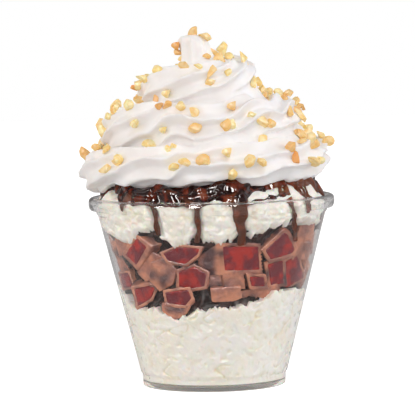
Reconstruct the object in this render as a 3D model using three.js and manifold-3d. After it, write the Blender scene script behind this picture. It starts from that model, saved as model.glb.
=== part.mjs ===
// An ice cream sundae in a clear plastic cup, in millimetres, +Z up. The origin is the centre of
// the foot ring on the ground plane, and the front of the sundae faces -Y.
//
// From the bottom up it is: soft vanilla ice cream, a belt of chopped chocolate-coated jelly bars
// bedded in dark chocolate, a second fill of vanilla ice cream, chocolate sauce that runs down
// inside the cup, and a swirl of whipped cream piped through a star nozzle.

import * as THREE from "three";
import { mergeVertices } from "three/addons/utils/BufferGeometryUtils.js";
import Module from "manifold-3d";

// ---------- driving dimensions ----------
const RIM_RADIUS = 46; // outside of the rolled rim
const CUP_HEIGHT = 70.8;
const SHEET = 0.6; // thickness of the formed plastic
const FOOT_RADIUS = 26.7;
const FLOOR_TOP = 2.6; // the floor stands clear of the ground inside the foot ring
const FOOT_HEIGHT = 4.3;
const CONE_START = { r: 27.5, z: 5.0 }; // outside of the wall, where the cone begins
const CONE_END = { r: 42.45, z: 63.7 }; // and where it meets the shoulder under the rim
const NECK_RADIUS = 43.4; // outside of the straight neck that carries the rolled rim
const GAP = 0.3; // between one solid and the next
const FINEST = 0.1; // edges shorter than this are closed up after a cut
const SECTORS = 24; // facets round the axis, the same in every round piece

// Edges of the layers where they meet the cup, as [azimuth, height] once round from the back:
// the top of the lower ice cream, and the underside of the upper ice cream.
const BASE_EDGE = [
  [-180, 33.5],
  [-125, 34.5],
  [-82, 37.5],
  [-63, 31],
  [-24, 27.8],
  [-8, 30.6],
  [14, 31.2],
  [36, 34],
  [60, 36.5],
  [95, 33],
  [140, 34.5],
  [180, 33.5],
];
const UPPER_EDGE = [
  [-180, 57],
  [-130, 58.5],
  [-80, 58],
  [-52, 54.8],
  [-37, 60],
  [-25, 55.2],
  [-8, 55.4],
  [8, 56],
  [40, 60.6],
  [60, 61.2],
  [95, 57.5],
  [140, 59],
  [180, 57],
];
const CORE_BASE = 35; // the two surfaces' heights at the axis
const CORE_UPPER = 57;
const ICE_SHOULDER = 69.2; // where the upper ice cream leaves the wall
const ICE_CROWN = 74.2; // its highest level, under the sauce
const SAUCE_DEPTH = 2.6;

const SWIRL_START = -0.32; // turns of the swirl, counted from the left side
const STRETCHES = 4; // the swirl is joined from this many parts
const STRETCH = 0.77; // turns in each of them
const SWIRL_END = SWIRL_START + STRETCHES * STRETCH; // where the rope runs into the peak
const SWIRL_STEP = 1 / 14; // from one section to the next
const SWIRL_CLOSING = 3.2; // where it would reach the axis
const SWIRL_RADIUS = 47.5; // outside of the lowest turn
const SWIRL_BASE = 78.6; // height of the rope's centre line where the swirl starts
const SWIRL_PITCH = 14.8; // rise in each turn
const SWIRL_TILT = 1.45; // the left side stands this much higher, and the right side lower
const ROPE_RADIUS = 9.3;
const ROPE_TWIST = 1.7; // turns of the star in each turn of the swirl
const STAR_POINTS = 8;
const FLUTE_DEPTH = 0.17; // of the grooves, as a share of the radius
const PEAK_LEAN = -4.5; // the peak's top stands left of the axis
const PEAK_TWIST = 50;
const PEAK_PROFILE = [
  [108, 12],
  [117, 9.5],
  [121, 7],
  [125.5, 6],
  [128.5, 5],
  [130.3, 3],
  [131, 1.2],
];

const wasm = await Module();
wasm.setup();

const rad = THREE.MathUtils.degToRad;

// ---------- general helpers ----------

/** A point at an azimuth (0 is the front, 90 the right-hand side), a radius and a height. */
function around(azimuth, r, z) {
  const a = rad(azimuth);
  return new THREE.Vector3(r * Math.sin(a), -r * Math.cos(a), z);
}

/** Straight-line interpolation through [x, y] pairs in rising x. */
function between(pairs, x) {
  let i = 1;
  while (i < pairs.length - 1 && pairs[i][0] < x) i += 1;
  const [x0, y0] = pairs[i - 1];
  const [x1, y1] = pairs[i];
  const share = THREE.MathUtils.clamp((x - x0) / (x1 - x0), 0, 1);
  return y0 + (y1 - y0) * share;
}

/** A closed geometry through equal rings of points, with a fan over each end. */
function skin(rings) {
  const points = rings.flat();
  const n = rings[0].length;
  const last = (rings.length - 1) * n;
  const faces = [];
  for (let k = 0; k < rings.length - 1; k += 1)
    for (let i = 0; i < n; i += 1) {
      const j = (i + 1) % n;
      const a = k * n + i;
      const b = k * n + j;
      faces.push(a, b, b + n, a, b + n, a + n);
    }
  const centre = (ring) =>
    ring.reduce((sum, p) => sum.add(p), new THREE.Vector3()).divideScalar(n);
  const first = points.push(centre(rings[0])) - 1;
  const final = points.push(centre(rings.at(-1))) - 1;
  for (let i = 0; i < n; i += 1) {
    const j = (i + 1) % n;
    faces.push(first, j, i, final, last + i, last + j);
  }
  return new THREE.BufferGeometry().setFromPoints(points).setIndex(faces);
}

/** A solid that can be cut and joined, from a closed geometry. */
function solid(geometry) {
  const bare = geometry.clone();
  bare.deleteAttribute("normal");
  bare.deleteAttribute("uv");
  const merged = mergeVertices(bare, 1e-4);
  return new wasm.Manifold(
    new wasm.Mesh({
      numProp: 3,
      vertProperties: new Float32Array(merged.attributes.position.array),
      triVerts: new Uint32Array(merged.index.array),
    }),
  );
}

/** The geometry of a solid, without its finest slivers and crumbs. */
function geometryOf(made) {
  const bodies = made.simplify(FINEST).decompose();
  bodies.sort((a, b) => b.volume() - a.volume());
  const mesh = bodies[0].getMesh();
  return new THREE.BufferGeometry()
    .setAttribute(
      "position",
      new THREE.BufferAttribute(new Float32Array(mesh.vertProperties), 3),
    )
    .setIndex(new THREE.BufferAttribute(new Uint32Array(mesh.triVerts), 1));
}

function united(solids) {
  return solids.reduce((sum, s) => sum.add(s));
}

function cutBy(made, tools) {
  return tools.reduce((left, tool) => left.subtract(tool), made);
}

// ---------- the cup ----------

/** Points along an arc in the (radius, height) plane, angles in degrees from +radius. */
function arc(r, z, radius, from, to, steps) {
  return Array.from({ length: steps + 1 }, (_, i) => {
    const a = rad(from + ((to - from) * i) / steps);
    return [r + radius * Math.cos(a), z + radius * Math.sin(a)];
  });
}

const CURL_RADIUS = (RIM_RADIUS - NECK_RADIUS + SHEET) / 2; // outside of the rolled rim's top
const CURL = { r: RIM_RADIUS - CURL_RADIUS, z: CUP_HEIGHT - CURL_RADIUS };
const NECK_FOOT = 66.5;
const LIP = 66.2; // lower edge of the rolled rim

// The inside of the wall from the floor up, as [height, radius].
const INNER_WALL = [
  [FLOOR_TOP, FOOT_RADIUS - SHEET],
  [FOOT_HEIGHT + 0.1, FOOT_RADIUS - SHEET + 0.2],
  [CONE_START.z + 0.1, CONE_START.r - SHEET],
  [CONE_END.z - 0.1, CONE_END.r - SHEET],
  [64.6, NECK_RADIUS - SHEET - 0.5],
  [NECK_FOOT, NECK_RADIUS - SHEET - 0.05],
  [CURL.z, NECK_RADIUS - SHEET],
];

function cupGeometry() {
  const outside = [
    [0, FLOOR_TOP - SHEET],
    [24.8, FLOOR_TOP - SHEET],
    [25.2, 0],
    [FOOT_RADIUS - 0.4, 0],
    [FOOT_RADIUS, 0.4],
    [FOOT_RADIUS + 0.2, FOOT_HEIGHT],
    [CONE_START.r, CONE_START.z],
    [CONE_END.r, CONE_END.z],
    [NECK_RADIUS - 0.5, 64.5],
    [NECK_RADIUS - 0.05, NECK_FOOT],
    ...arc(CURL.r, CURL.z, CURL_RADIUS - SHEET, 180, 0, 3),
    [RIM_RADIUS - SHEET, LIP + 0.7],
    [RIM_RADIUS - 0.4, LIP],
    [RIM_RADIUS, LIP + 0.7],
  ];
  const over = arc(CURL.r, CURL.z, CURL_RADIUS, 0, 180, 4);
  const inside = INNER_WALL.slice(0, -1)
    .reverse()
    .map(([z, r]) => [r, z]);
  const profile = [...outside, ...over, ...inside, [0, FLOOR_TOP]];
  return new THREE.LatheGeometry(
    profile.map(([r, z]) => new THREE.Vector2(r, z)),
    SECTORS,
  ).rotateX(Math.PI / 2);
}

/** Largest radius of the contents at a height. */
function contentRadius(z) {
  return between(INNER_WALL, z) - GAP;
}

// ---------- layers of the filling ----------

const RINGS = [0.45, 0.84]; // radial stations of a layer's top and bottom

/**
 * A layer between two surfaces, each a height from (azimuth, share of the radius). knots are
 * heights at which the side follows the cup's wall, and reach limits the radius.
 */
function layer({ bottom, top, knots = [], reach = () => 1 }) {
  const azimuths = Array.from({ length: SECTORS }, (_, i) => (i * 360) / SECTORS);
  const ringAt = (height, share) =>
    azimuths.map((a) => {
      const s = share * reach(a);
      const z = height(a, s);
      return around(a, s * contentRadius(z), z);
    });
  return skin([
    ...[0.05, ...RINGS, 1].map((s) => ringAt(bottom, s)),
    ...knots.map((z) => azimuths.map((a) => around(a, reach(a) * contentRadius(z), z))),
    ...[1, ...[...RINGS].reverse(), 0.05].map((s) => ringAt(top, s)),
  ]);
}

/** A smooth unevenness round the cup, between -1 and 1. */
function wave(azimuth, seed) {
  const a = rad(azimuth);
  return (
    0.5 * Math.sin(3 * a + 1.3 * seed) +
    0.3 * Math.sin(5 * a + 2.1 * seed + 0.7) +
    0.2 * Math.sin(8 * a + 3.7 * seed)
  );
}

/** A surface that runs from one height at the axis to a wavy edge at the wall. */
function surfaceTo(edge, centre) {
  return (azimuth, s) => {
    const turned = azimuth > 180 ? azimuth - 360 : azimuth;
    return centre + (between(edge, turned) - centre) * s * s;
  };
}
const baseTop = surfaceTo(BASE_EDGE, CORE_BASE);
const iceUnderside = surfaceTo(UPPER_EDGE, CORE_UPPER);
const iceTop = (a, s) =>
  ICE_CROWN - (ICE_CROWN - ICE_SHOULDER) * s ** 7 + 0.5 * wave(a, 3) * s * (1 - s);

// The sauce thins towards a wavy edge just inside the rim.
const sauceReach = (a) => 0.955 + 0.022 * wave(a, 4);
const sauceTop = (a, s) => {
  const edge = THREE.MathUtils.clamp((sauceReach(a) - s) / 0.09, 0, 1);
  return iceTop(a, s) + 2 * GAP + 0.7 + (SAUCE_DEPTH - 0.7) * Math.sqrt(edge);
};

// ---------- jelly bars ----------

// Each piece of bar lies against the wall: its azimuth and height, its size across, up and into
// the cup, its spin (anticlockwise as seen from outside), and how far it is turned from showing
// its cut face (0) to showing its moulded side (90).
const FRONT_BARS = [
  { at: [-41, 52.4], size: [16.5, 12.5, 11], spin: 30, turn: -16 },
  { at: [-16, 51.2], size: [15.5, 8.8, 10], spin: 22, turn: 0 },
  { at: [11.5, 47.2], size: [22.5, 16.2, 11], spin: 1, turn: 10 },
  { at: [39, 53.6], size: [15, 10.5, 10], spin: 20, turn: 0 },
  { at: [61, 55], size: [10, 14, 13], spin: -4, turn: 82 },
  { at: [58, 42.6], size: [14, 12, 10], spin: -22, turn: 0 },
  { at: [-50.5, 35.3], size: [15.5, 9, 10], spin: -6, turn: 8 },
  { at: [-23, 33.6], size: [12, 11.5, 10], spin: 38, turn: 0 },
  { at: [30, 36.6], size: [14.5, 7.5, 10], spin: -6, turn: 78 },
  { at: [7.5, 36], size: [11, 5.5, 11], spin: 3, turn: 84 },
  { at: [-31.5, 43.6], size: [9, 10, 10], spin: 18, turn: 82 },
  { at: [-12.5, 42.2], size: [10, 7, 9], spin: -24, turn: 76 },
  { at: [-62.5, 54.8], size: [8, 5.5, 7], spin: -12, turn: 80 },
  { at: [-70, 46.4], size: [10, 13.5, 11], spin: 14, turn: 74 },
  { at: [-89, 42.5], size: [12, 12, 10], spin: -20, turn: 12 },
];
// Round the sides and the back the same kind of pieces follow in two staggered rows.
const BACK_BARS = Array.from({ length: 10 }, (_, i) => {
  const upper = i % 2 === 0;
  return {
    at: [82 + 18.6 * i, (upper ? 50.2 : 40) + 1.5 * wave(41 * i, 5)],
    size: [14.5 + 2.2 * wave(67 * i, 6), 12 + 1.8 * wave(29 * i, 7), 10.5],
    spin: 34 * wave(53 * i, 8),
    turn: i % 3 === 2 ? 82 : 16 * wave(71 * i, 9),
  };
});
const BARS = [...FRONT_BARS, ...BACK_BARS];
const BAR_CHAMFER = 1.8;
const BAR_DRAFT = 0.86; // width of a bar's moulded top over its base

/** A chunk of bar with a drafted, chamfered section, its length along Y and centred. */
function barBlock([wide, high, long], grow) {
  const w = wide / 2 + grow;
  const h = high / 2 + grow;
  const c = BAR_CHAMFER;
  const top = w * BAR_DRAFT;
  const section = new THREE.Shape([
    new THREE.Vector2(-w, -h),
    new THREE.Vector2(w, -h),
    new THREE.Vector2(top, h - c),
    new THREE.Vector2(top - c, h),
    new THREE.Vector2(-top + c, h),
    new THREE.Vector2(-top, h - c),
  ]);
  const length = long + 2 * grow;
  return new THREE.ExtrudeGeometry(section, {
    depth: length,
    bevelEnabled: false,
    steps: 1,
  })
    .translate(0, 0, -length / 2)
    .rotateX(Math.PI / 2);
}

/** The piece in place, with whatever would stand past the wall pressed flat against it. */
function barInPlace({ at: [azimuth, height], size, spin, turn }, grow = 0) {
  const wallSlope = Math.atan2(CONE_END.r - CONE_START.r, CONE_END.z - CONE_START.z);
  const sideways = Math.abs(Math.sin(rad(turn)));
  const depth = size[2] * (1 - sideways) + size[0] * sideways;
  const made = barBlock(size, grow)
    .rotateZ(rad(turn))
    .rotateY(-rad(spin))
    .translate(0, depth / 2 - 0.4, 0)
    .rotateX(wallSlope)
    .translate(0, -contentRadius(height), height)
    .rotateZ(rad(azimuth));
  const p = made.attributes.position;
  for (let i = 0; i < p.count; i += 1) {
    const r = Math.hypot(p.getX(i), p.getY(i));
    const most = contentRadius(p.getZ(i)) - 0.1 + grow;
    if (r > most) p.setXY(i, (p.getX(i) * most) / r, (p.getY(i) * most) / r);
  }
  return made;
}

// ---------- sauce ----------

// Runs of sauce down the inside of the wall: azimuth, width and lower end.
const FRONT_RUNS = [
  [-28.5, 2.6, 57.5],
  [-7.8, 2.2, 56.5],
  [15, 5.6, 57.5],
  [46.5, 2.4, 58.5],
];
const BACK_RUNS = Array.from({ length: 5 }, (_, i) => [
  88 + 42 * i + 6 * wave(37 * i, 10),
  3 + 1.4 * wave(59 * i, 11),
  58.5 + 2 * wave(83 * i, 12),
]);
const RUNS = [...FRONT_RUNS, ...BACK_RUNS];
const RUN_DEPTH = 1.7;

// A run's section as shares of its half depth (out of the cup) and half width.
const RUN_SECTION = [
  [1, -0.85],
  [1, 0.85],
  [-1, 0.6],
  [-1, -0.6],
];

/** One run: a flattened strand from the sauce layer over the shoulder and down the wall. */
function runGeometry([azimuth, width, end], grow = 0) {
  const levels = [end - grow, end + 3, CONE_END.z - 0.5, 69];
  const path = levels.map((z) => [contentRadius(z) - 0.1 - RUN_DEPTH / 2, z]);
  path.push([38.4, 72.6 + grow]);
  return skin(
    path.map(([r, z], k) => {
      const [ra, za] = path[Math.max(k - 1, 0)];
      const [rb, zb] = path[Math.min(k + 1, path.length - 1)];
      const lean = Math.atan2(rb - ra, zb - za);
      const half = (width / 2) * (1 + 0.14 * Math.sin(2.3 * k + azimuth));
      return RUN_SECTION.map(([out, across]) => {
        const shift = out * (RUN_DEPTH / 2 + grow);
        const side = across * half + Math.sign(across) * grow;
        const radius = r + shift * Math.cos(lean);
        const turned = azimuth + THREE.MathUtils.radToDeg(side / radius);
        return around(turned, radius, z - shift * Math.sin(lean));
      });
    }),
  );
}

// ---------- whipped cream ----------

// t counts turns of the swirl from its left side, rising towards the right across the front.
const ropeRadius = (t) => ROPE_RADIUS * (1 - 0.32 * Math.max(t / SWIRL_END, 0) ** 5);
const swirlOutside = (t) => SWIRL_RADIUS * (1 - Math.max(t / SWIRL_CLOSING, 0) ** 1.9);
const swirlCentre = (t) => swirlOutside(t) - ropeRadius(t);
const swirlHeight = (t) => {
  const on = Math.max(t, -0.06); // the first stretch lies level on the sauce
  return SWIRL_BASE + SWIRL_PITCH * on + SWIRL_TILT * Math.cos(2 * Math.PI * on);
};

/** Radii of a star section's points, from ridge to groove and so on round. */
function starRadii(radius) {
  return Array.from({ length: 2 * STAR_POINTS }, (_, i) =>
    i % 2 === 0 ? radius : radius * (1 - FLUTE_DEPTH),
  );
}

/** One section of the piped rope, in the upright plane through the axis. */
function ropeRing(t, share = 1) {
  return starRadii(ropeRadius(t) * share).map((reach, i) => {
    const angle = 2 * Math.PI * (ROPE_TWIST * t - i / (2 * STAR_POINTS));
    return around(
      360 * t - 90,
      swirlCentre(t) + reach * Math.cos(angle),
      swirlHeight(t) + reach * Math.sin(angle),
    );
  });
}

/** One level section of the peak that the rope ends in. */
function peakRing([height, radius]) {
  const share = (height - PEAK_PROFILE[0][0]) / (PEAK_PROFILE.at(-1)[0] - PEAK_PROFILE[0][0]);
  return starRadii(radius).map((reach, i) =>
    around((180 * i) / STAR_POINTS + PEAK_TWIST * share, reach, height).add(
      new THREE.Vector3(PEAK_LEAN * share, 0, 0),
    ),
  );
}

function creamGeometry() {
  // Shorter than a turn, each stretch is clear of itself. It starts narrow, inside the last one.
  const stretches = Array.from({ length: STRETCHES }, (_, k) => {
    const from = SWIRL_START + k * STRETCH;
    const rings = [ropeRing(from - 0.5 * SWIRL_STEP, k === 0 ? 0.5 : 0.9)];
    for (let t = from + 0.4 * SWIRL_STEP; t < from + STRETCH - 0.1 * SWIRL_STEP; t += SWIRL_STEP)
      rings.push(ropeRing(t));
    rings.push(ropeRing(from + STRETCH, 0.97));
    return solid(skin(rings));
  });
  const heart = Array.from({ length: 7 }, (_, k) => {
    const t = (k * SWIRL_END) / 6;
    return new THREE.Vector2(swirlCentre(t) + 1.5, swirlHeight(t) + 1);
  });
  const core = new THREE.LatheGeometry(
    [
      new THREE.Vector2(0, 70),
      new THREE.Vector2(35, 70),
      ...heart,
      new THREE.Vector2(0, swirlHeight(SWIRL_END) + 2),
    ],
    SECTORS,
  ).rotateX(Math.PI / 2);
  const below = layer({
    bottom: () => 60,
    top: (a, s) => sauceTop(a, s) + 2 * GAP,
    knots: [CONE_END.z, NECK_FOOT],
    reach: () => 1.003,
  });
  const peak = solid(skin(PEAK_PROFILE.map(peakRing)));
  return geometryOf(united([solid(core), ...stretches, peak]).subtract(solid(below)));
}

// ---------- assembly ----------

function material(colour, roughness, extra = {}) {
  return new THREE.MeshStandardMaterial({ color: colour, roughness, metalness: 0, ...extra });
}
const CLEAR_PLASTIC = material("#e9ebea", 0.1, { transparent: true, opacity: 0.3 });
const VANILLA = material("#efe6d6", 0.6);
const DARK_CHOCOLATE = material("#3b2420", 0.35);
const SAUCE = material("#32110a", 0.12);
const MILK_CHOCOLATE = material("#8a5740", 0.5);
const CREAM = material("#f6f2ef", 0.5);

const sundae = new THREE.Group();
sundae.name = "sundae";

function add(name, geometry, finish) {
  const mesh = new THREE.Mesh(geometry, finish);
  mesh.name = name;
  sundae.add(mesh);
}

// Bars that touch are cut by those before them, so that each keeps its own space.
const barSolids = [];
for (const bar of BARS) {
  const earlier = barSolids.map(({ grown }) => grown);
  barSolids.push({
    own: cutBy(solid(barInPlace(bar)), earlier),
    grown: solid(barInPlace(bar, GAP)),
  });
}
const barTools = barSolids.map(({ grown }) => grown);
const runTools = RUNS.map((run) => solid(runGeometry(run, GAP)));

const lowerIce = layer({
  bottom: () => FLOOR_TOP + GAP,
  top: baseTop,
  knots: [FOOT_HEIGHT, CONE_START.z + 0.4],
});
const beltCore = layer({
  bottom: (a, s) => baseTop(a, s) + 2 * GAP,
  top: (a, s) => iceUnderside(a, s) - 2 * GAP,
});
const upperIce = layer({
  bottom: iceUnderside,
  top: iceTop,
  knots: [CONE_END.z - 0.3, NECK_FOOT],
});
const sauceLayer = layer({
  bottom: (a, s) => iceTop(a, s) + 2 * GAP,
  top: sauceTop,
  reach: sauceReach,
});
const sauce = united([
  solid(sauceLayer),
  ...RUNS.map((run) => cutBy(solid(runGeometry(run)), barTools)),
]);
const sauceSpace = solid(
  layer({ bottom: iceUnderside, top: (a, s) => iceTop(a, s) + 9, knots: [60] }),
);

add("cup", cupGeometry(), CLEAR_PLASTIC);
add("ice_cream_lower", geometryOf(cutBy(solid(lowerIce), barTools)), VANILLA);
add("chocolate_belt", geometryOf(cutBy(solid(beltCore), barTools)), DARK_CHOCOLATE);
barSolids.forEach(({ own }, i) =>
  add(`jelly_bar_${String(i + 1).padStart(2, "0")}`, geometryOf(own), MILK_CHOCOLATE),
);
add(
  "ice_cream_upper",
  geometryOf(cutBy(solid(upperIce), [...barTools, ...runTools])),
  VANILLA,
);
add("chocolate_sauce", geometryOf(sauce.intersect(sauceSpace)), SAUCE);
add("whipped_cream", creamGeometry(), CREAM);

export default sundae;
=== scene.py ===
# %% [markdown]
# # An ice cream sundae in a clear cup
#
# A sundae is a stack of soft things in a hard one: a formed plastic cup, vanilla ice cream
# pressed against its wall, a belt of chopped jelly bars, sauce, a piped swirl and nuts.
# The imported CAD model gives every size here, and it is loaded first. Sizes below are in
# millimetres, and azimuths in degrees: 0 is the front, 90 the right-hand side.

# %% Load the frame
import math
import random
from contextlib import contextmanager
from functools import lru_cache

import bpy
from mathutils import Matrix, Vector, noise
from mathutils.bvhtree import BVHTree


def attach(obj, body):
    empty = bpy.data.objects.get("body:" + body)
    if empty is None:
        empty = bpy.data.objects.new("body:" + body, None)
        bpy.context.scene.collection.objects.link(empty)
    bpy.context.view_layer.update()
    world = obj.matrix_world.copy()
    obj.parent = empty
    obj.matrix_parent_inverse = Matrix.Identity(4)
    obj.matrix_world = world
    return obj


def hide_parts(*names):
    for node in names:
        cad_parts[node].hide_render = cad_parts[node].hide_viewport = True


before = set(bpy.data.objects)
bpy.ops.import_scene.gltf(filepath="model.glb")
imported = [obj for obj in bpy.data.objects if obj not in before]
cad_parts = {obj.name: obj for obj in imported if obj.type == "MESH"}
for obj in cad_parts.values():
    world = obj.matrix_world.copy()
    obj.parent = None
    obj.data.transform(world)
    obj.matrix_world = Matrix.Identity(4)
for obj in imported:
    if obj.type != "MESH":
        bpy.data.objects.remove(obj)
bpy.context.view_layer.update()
MM = 0.001
FINENESS = 1.0

# %% [markdown]
# ## The camera
#
# The photograph was taken from about a metre away, a little above the rim, with the camera
# rolled by one degree. A lens is a focal length, and the same length counted in pixels of the
# picture lets the script ask the reverse question: which way does a pixel look? That places
# things the photograph shows, such as each piece of nut, on the surface that carries them.

# %% Set up the camera
PICTURE_SIDE = 415
PICTURE_CENTRE = PICTURE_SIDE / 2
FOCAL_PIXELS = 2796.6
SENSOR_WIDTH = 36.0
EYE = Vector((-1.5, -1046.0, 134.0))
AIM = Vector((-1.5, 0.0, 66.2))
ROLL = math.radians(1.0)

ahead = (AIM - EYE).normalized()
level = ahead.cross(Vector((0, 0, 1))).normalized()
upright = level.cross(ahead)
view_right = math.cos(ROLL) * level - math.sin(ROLL) * upright
view_up = math.sin(ROLL) * level + math.cos(ROLL) * upright

bpy.ops.object.select_all(action="DESELECT")
bpy.ops.object.camera_add()
camera = bpy.context.object
camera.matrix_world = (
    Matrix.Translation(EYE * MM) @ Matrix((view_right, view_up, -ahead)).transposed().to_4x4()
)
camera.data.sensor_fit = "HORIZONTAL"
camera.data.sensor_width = SENSOR_WIDTH
camera.data.lens = SENSOR_WIDTH * FOCAL_PIXELS / PICTURE_SIDE
bpy.context.scene.camera = camera
print("lens in mm:", round(camera.data.lens, 1))


# %% Where a pixel looks
def sight(x, y):
    """The direction in which a pixel of the photograph looks."""
    across = (x - PICTURE_CENTRE) / FOCAL_PIXELS
    down = (y - PICTURE_CENTRE) / FOCAL_PIXELS
    return (ahead + across * view_right - down * view_up).normalized()


def on_drum(x, y, radius):
    """The nearer point where a pixel's line meets an upright cylinder round the axis."""
    d = sight(x, y)
    a = d.x**2 + d.y**2
    b = EYE.x * d.x + EYE.y * d.y
    inside = b * b - a * (EYE.x**2 + EYE.y**2 - radius**2)
    return EYE + d * (-b - math.sqrt(max(inside, 0))) / a


print("the picture's centre meets the cup at", on_drum(PICTURE_CENTRE, PICTURE_CENTRE, 42))

# %% [markdown]
# ## Working by hand, in code
#
# Blender's tools act on whatever is selected. These helpers select one piece, open it in edit
# mode and close it again, so that each step below reads like the work at the screen.


# %% Selecting and editing
def pick(*pieces):
    """Leaves only these pieces selected, with the last one active."""
    bpy.ops.object.select_all(action="DESELECT")
    for piece in pieces:
        piece.select_set(True)
    bpy.context.view_layer.objects.active = pieces[-1]


@contextmanager
def editing(piece):
    """Edit mode on one piece, with everything in it selected."""
    pick(piece)
    bpy.ops.object.mode_set(mode="EDIT")
    bpy.ops.mesh.select_mode(type="VERT")
    bpy.ops.mesh.select_all(action="SELECT")
    yield
    bpy.ops.object.mode_set(mode="OBJECT")


def modify(piece, kind, **settings):
    """Adds a modifier to a piece and applies it."""
    pick(piece)
    modifier = piece.modifiers.new(kind, kind)
    for name, value in settings.items():
        setattr(modifier, name, value)
    bpy.ops.object.modifier_apply(modifier=modifier.name)


def extrude(move):
    """In edit mode: extrudes what is selected, by a move in millimetres."""
    bpy.ops.mesh.extrude_region_move(TRANSFORM_OT_translate={"value": move * MM})


def face_outwards():
    """In edit mode: turns every face of the piece outwards."""
    bpy.ops.mesh.select_all(action="SELECT")
    bpy.ops.mesh.normals_make_consistent(inside=False)


def triangles(piece):
    return sum(len(p.vertices) - 2 for p in piece.data.polygons)


print("CAD nodes to dress:", len(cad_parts))


# %% Spinning a profile and shaping what is round
def lathe(name, profile, steps):
    """Draws a profile of (radius, height) points by extruding one vertex, and spins it."""
    bpy.ops.mesh.primitive_plane_add(size=MM)
    piece = bpy.context.object
    piece.name = name
    with editing(piece):
        bpy.ops.mesh.merge(type="CENTER")
        (r, z), *rest = profile
        bpy.ops.transform.translate(value=(r * MM, 0, z * MM))
        for r1, z1 in rest:
            move = ((r1 - r) * MM, 0, (z1 - z) * MM)
            bpy.ops.mesh.extrude_vertices_move(TRANSFORM_OT_translate={"value": move})
            r, z = r1, z1
        bpy.ops.mesh.select_all(action="SELECT")
        bpy.ops.mesh.spin(steps=steps, angle=math.tau, center=(0, 0, 0), axis=(0, 0, 1))
        bpy.ops.mesh.select_all(action="SELECT")
        bpy.ops.mesh.remove_doubles(threshold=0.01 * MM)
        face_outwards()
    return piece


def around(azimuth, radius, z):
    """A point at an azimuth, a radius and a height."""
    a = math.radians(azimuth)
    return Vector((radius * math.sin(a), -radius * math.cos(a), z))


def azimuth_of(point):
    return math.degrees(math.atan2(point.x, -point.y))


def keep_tones(mesh, tones):
    """Keeps how much of a second tone each vertex has, as the mesh's attribute "tone"."""
    attribute = mesh.attributes.get("tone") or mesh.attributes.new("tone", "FLOAT", "POINT")
    attribute.data.foreach_set("value", tones)


def reshape(piece, rule):
    """Moves each vertex to where rule(azimuth, radius, height) puts it. rule also says how
    much of a second tone the vertex has."""
    tones = []
    for vertex in piece.data.vertices:
        at = vertex.co / MM
        azimuth, radius, z, tone = rule(azimuth_of(at), math.hypot(at.x, at.y), at.z)
        vertex.co = around(azimuth, radius, z) * MM
        tones.append(tone)
    keep_tones(piece.data, tones)


def arc(r, z, radius, start, end, count):
    """Points along an arc of a profile, with angles in degrees from outwards."""
    angles = [math.radians(start + (end - start) * i / count) for i in range(count + 1)]
    return [(r + radius * math.cos(a), z + radius * math.sin(a)) for a in angles]


print("a quarter circle:", [(round(r, 2), round(z, 2)) for r, z in arc(0, 0, 1, 0, 90, 2)])

# %% [markdown]
# ## Finishes
#
# Food is never one flat colour. Two effects come back in nearly every finish here, so each is
# a node group, built once: a mottle, soft patches between two tones, and a grain, the height
# of a fine uneven surface. Both read Object coordinates, so they stay on a piece wherever the
# camera goes. The shader itself stays in each material, where the export can read it.


# %% Nodes and links in a line each
def set_values(node, values):
    """Sets plain values on a node's inputs. In their names, _ stands for a space."""
    for label, value in values.items():
        node.inputs[label.replace("_", " ")].default_value = value


def add_node(tree, kind, **values):
    node = tree.nodes.new("ShaderNode" + kind)
    set_values(node, values)
    return node


def wire(tree, *links):
    """Joins sockets. Each link is (a node, its output, the next node, that one's input)."""
    for source, output, target, socket in links:
        tree.links.new(source.outputs[output], target.inputs[socket])


def new_group(name, inputs, output):
    """An empty node group, with its input and output nodes."""
    group = bpy.data.node_groups.new(name, "ShaderNodeTree")
    group.interface.new_socket("Vector", in_out="INPUT", socket_type="NodeSocketVector")
    for label, value in inputs.items():
        socket = group.interface.new_socket(label, in_out="INPUT", socket_type="NodeSocketFloat")
        socket.default_value = value
    group.interface.new_socket(output, in_out="OUTPUT", socket_type="NodeSocketFloat")
    return group, group.nodes.new("NodeGroupInput"), group.nodes.new("NodeGroupOutput")


print("node groups so far:", len(bpy.data.node_groups))

# %% A node group for mottled patches
mottle_group, given, made = new_group(
    "Mottle", {"Scale": 100.0, "Low": 0.4, "High": 0.6}, "Mask"
)
cloud = add_node(mottle_group, "TexNoise", Detail=4)
spread = add_node(mottle_group, "MapRange")
spread.interpolation_type = "SMOOTHSTEP"
wire(
    mottle_group,
    (given, "Vector", cloud, "Vector"), (given, "Scale", cloud, "Scale"),
    (cloud, "Fac", spread, "Value"), (given, "Low", spread, "From Min"),
    (given, "High", spread, "From Max"), (spread, "Result", made, "Mask"),
)
print("group made:", mottle_group.name)

# %% A node group for fine grain
grain_group, given, made = new_group("Grain", {"Scale": 900.0, "Pits": 0.3}, "Height")
bumps = add_node(grain_group, "TexNoise", Detail=6)
cells = add_node(grain_group, "TexVoronoi")
blend = add_node(grain_group, "Mix")
for texture in (bumps, cells):
    wire(grain_group, (given, "Vector", texture, "Vector"), (given, "Scale", texture, "Scale"))
wire(
    grain_group,
    (given, "Pits", blend, "Factor"), (bumps, "Fac", blend, "A"),
    (cells, "Distance", blend, "B"), (blend, "Result", made, "Height"),
)
print("group made:", grain_group.name)


# %% A finish in two tones, with mottle and grain
MIX_A, MIX_B, MIXED = 6, 7, 2  # a Mix node's colour sockets: its other kinds share their names


def linear(red, green, blue):
    """A colour as it is read on a screen, 0 to 255, in the linear values that nodes take."""

    def to_linear(v):
        return ((v / 255 + 0.055) / 1.055) ** 2.4 if v > 10 else v / 3295

    return to_linear(red), to_linear(green), to_linear(blue), 1


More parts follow.
